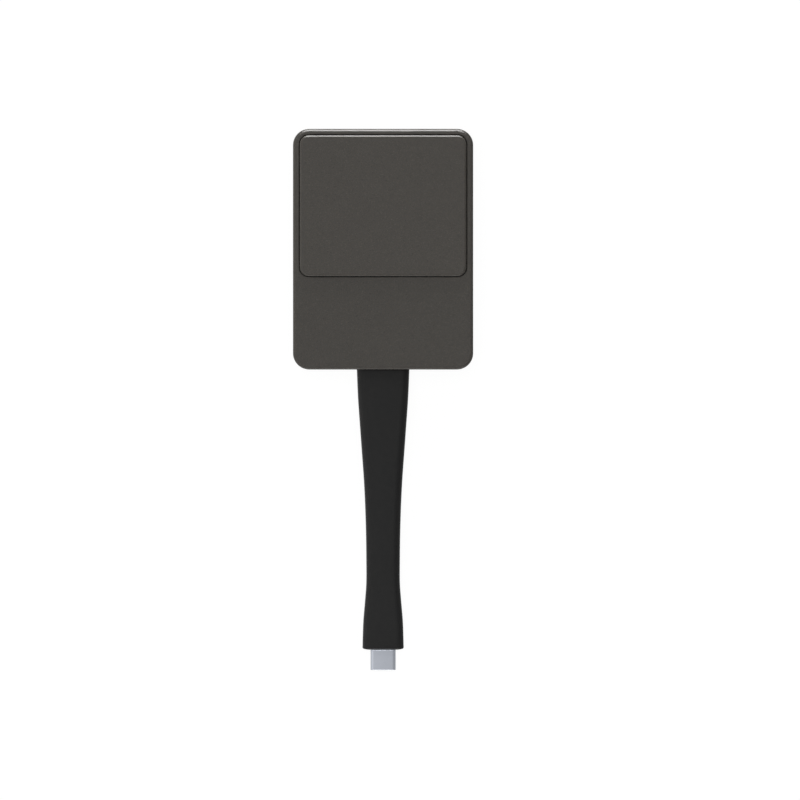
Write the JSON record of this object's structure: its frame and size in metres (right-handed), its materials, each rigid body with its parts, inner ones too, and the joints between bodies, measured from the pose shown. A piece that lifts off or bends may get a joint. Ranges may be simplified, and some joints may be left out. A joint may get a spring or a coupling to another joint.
{
  "type": "wireless presentation dongle",
  "caption": "Flat handheld transmitter with one large square push button and a short flexible moulded tail that ends in a USB-C plug.",
  "frame": {"origin": "under the middle of the housing, on the surface that its feet stand on", "axes": "+X across the housing, +Y along it away from the tail, +Z out of the front face"},
  "size_m": [0.059, 0.1777, 0.0142],
  "materials": {
    "housing_plastic": "fine satin texture",
    "button_plastic": "fine satin texture",
    "inner_plastic": "moulded",
    "foot_rubber": "matt",
    "screw_steel": "zinc plated",
    "silicone": "translucent white",
    "switch_plastic": "moulded",
    "plunger_plastic": "moulded",
    "spring_steel": "stamped",
    "tinned_metal": "tin plated",
    "board_laminate": "solder mask",
    "can_metal": "nickel silver",
    "chip_black": "moulded epoxy",
    "ferrite": "pressed powder",
    "capacitor_ceramic": "fired",
    "resistor_ceramic": "glazed",
    "gold_plate": "gold plated",
    "thermal_silicone": "soft pad",
    "spreader_metal": "sheet",
    "connector_plastic": "nylon",
    "lead_black": "smooth",
    "wire_insulation": "smooth",
    "braid_metal": "braided",
    "jacket_rubber": "smooth",
    "tail_rubber": "matt, smooth",
    "plug_steel": "satin nickel",
    "plug_plastic": "moulded",
    "mould_plastic": "moulded"
  },
  "bodies": {
    "housing": {"top_housing": "housing_plastic", "bottom_housing": "housing_plastic", "rubber_feet": "foot_rubber", "housing_screws": "screw_steel", "button_guide_frame": "inner_plastic", "guide_frame_screws": "screw_steel", "return_domes": "silicone", "switch_body": "switch_plastic", "switch_cover": "spring_steel", "switch_dome": "spring_steel", "switch_terminals": "tinned_metal", "main_board": "board_laminate", "board_screws": "screw_steel", "memory_shield_can": "can_metal", "memory_chips": "chip_black", "wireless_module_board": "board_laminate", "wireless_shield_can": "can_metal", "antenna_connectors": "gold_plate", "antenna_boards": "board_laminate", "antenna_leads": "lead_black", "processor_chip": "chip_black", "thermal_pad": "thermal_silicone", "heat_spreader": "spreader_metal", "power_chip": "chip_black", "power_inductors": "ferrite", "clock_crystal": "can_metal", "ceramic_capacitors": "capacitor_ceramic", "chip_resistors": "resistor_ceramic", "cable_socket": "connector_plastic", "cable_plug_housing": "connector_plastic", "cable_conductors": "wire_insulation", "cable_shield": "braid_metal", "cable_jacket": "jacket_rubber", "cable_clamp": "spring_steel", "cable_clamp_screws": "screw_steel", "tail_overmould": "tail_rubber"},
    "button": {"button_cap": "button_plastic"},
    "plunger": {"switch_plunger": "plunger_plastic"},
    "plug": {"plug_shell": "plug_steel", "plug_insulator": "plug_plastic", "plug_contacts": "gold_plate", "plug_latch_springs": "spring_steel", "plug_ground_springs": "spring_steel", "plug_board": "board_laminate", "plug_board_parts": "chip_black", "plug_back_shield": "tinned_metal", "plug_inner_mould": "mould_plastic"}
  },
  "joints": [
    {"name": "button_press", "type": "slide", "parent": "housing", "child": "button", "axis": [0, 0, -1], "range_m": [0, 0.0005], "stiffness_N_per_m": 1500, "springref_m": -0.0004, "deforming": ["return_domes"]},
    {"name": "plunger_press", "type": "slide", "parent": "housing", "child": "plunger", "axis": [0, 0, -1], "range_m": [0, 0.0005], "deforming": ["switch_dome"]},
    {"name": "tail_flex", "type": "hinge", "parent": "housing", "child": "plug", "pos_m": [0, -0.0735, 0.0054], "axis": [-1, 0, 0], "range_deg": [0, 60], "stiffness_Nm_per_rad": 0.06, "deforming": ["tail_overmould", "cable_jacket", "cable_shield", "cable_conductors"]}
  ],
  "couplings": [
    {"joint": "plunger_press", "follows": "button_press", "ratio": 1}
  ]
}
